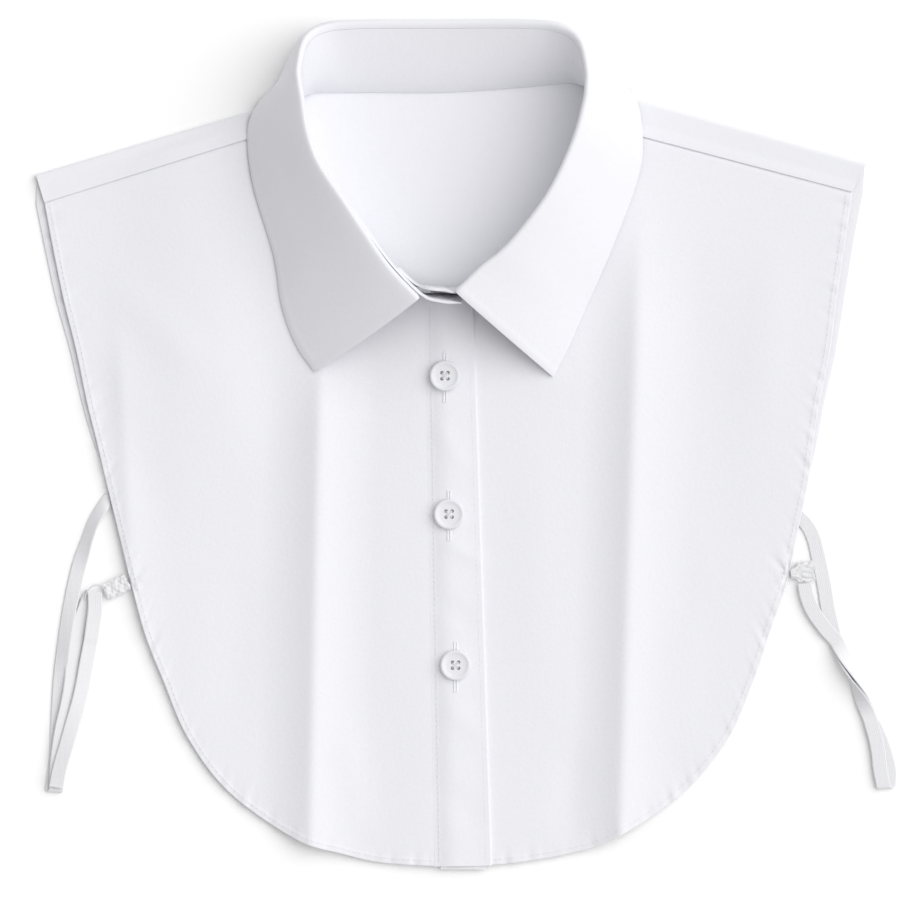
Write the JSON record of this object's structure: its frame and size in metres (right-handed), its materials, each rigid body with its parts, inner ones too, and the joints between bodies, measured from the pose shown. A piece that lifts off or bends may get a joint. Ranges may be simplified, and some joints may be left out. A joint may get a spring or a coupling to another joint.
{
  "type": "detachable shirt collar",
  "caption": "White cotton dickey laid flat on its back: shirt collar on a stand, buttoned placket front, rounded hem, open armholes and elastic arm loops.",
  "frame": {"origin": "middle of the garment's box without its arm loops, on the surface that it lies on", "axes": "+X to the right of the garment seen from above, +Y up it towards the collar, +Z up from the surface"},
  "size_m": [0.3586, 0.3545, 0.0367],
  "materials": {
    "cotton": "smooth plain-weave cotton",
    "button": "polished white",
    "elastic": "ribbed woven elastic"
  },
  "bodies": {
    "root": {"back_panel": "cotton", "front_left": "cotton", "front_right": "cotton", "placket": "cotton", "under_placket": "cotton", "collar_stand": "cotton", "collar_leaf": "cotton", "button_top": "button", "button_middle": "button", "button_bottom": "button", "strap_left": "elastic", "strap_right": "elastic", "strap_tab_left": "elastic", "strap_tab_right": "elastic"}
  },
  "joints": []
}
